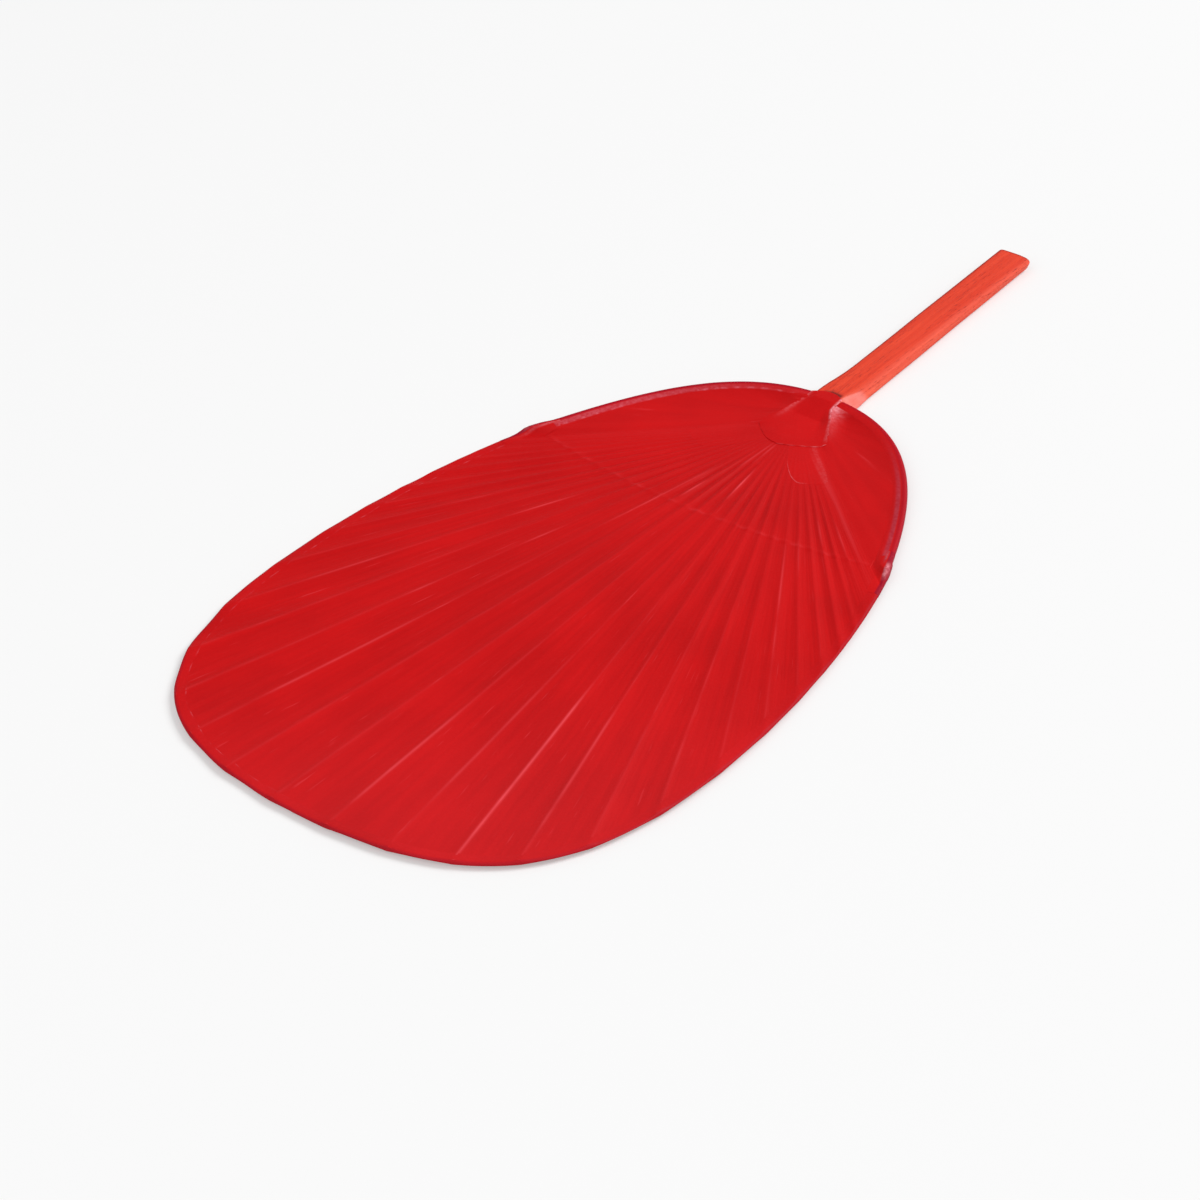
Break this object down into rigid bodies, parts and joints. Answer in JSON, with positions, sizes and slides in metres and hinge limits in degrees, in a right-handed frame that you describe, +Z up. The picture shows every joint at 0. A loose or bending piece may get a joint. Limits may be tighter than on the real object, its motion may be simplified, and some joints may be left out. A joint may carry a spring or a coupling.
{
  "type": "flat hand fan",
  "caption": "Egg-shaped flat hand fan of split bamboo ribs covered with red paper, held open by a bow and woven cord, with a slim stained bamboo handle.",
  "frame": {"origin": "middle of the fan's length and width, on the surface that it lies on", "axes": "+Y along the fan towards the handle end, +Z up out of the front face, +X to the right of the blade as seen from the front with the handle at the top"},
  "size_m": [0.18, 0.416, 0.0056],
  "materials": {
    "stained_bamboo": "satin orange-red stain over bamboo grain",
    "raw_bamboo": "plain split bamboo",
    "cotton_cord": "twisted thread",
    "red_paper": "smooth lacquered red paper",
    "binding_paper": "folded red paper strip",
    "patch_paper": "pasted red paper"
  },
  "bodies": {
    "root": {"split_bamboo_handle": "stained_bamboo", "bow": "raw_bamboo", "weaving_cord": "cotton_cord", "front_paper": "red_paper", "back_paper": "red_paper", "rim_binding": "binding_paper", "bow_binding_right": "binding_paper", "bow_binding_left": "binding_paper", "ear_patch_right": "patch_paper", "ear_patch_left": "patch_paper", "neck_underlay": "patch_paper", "front_neck_patch": "patch_paper", "back_neck_patch": "patch_paper"}
  },
  "joints": []
}
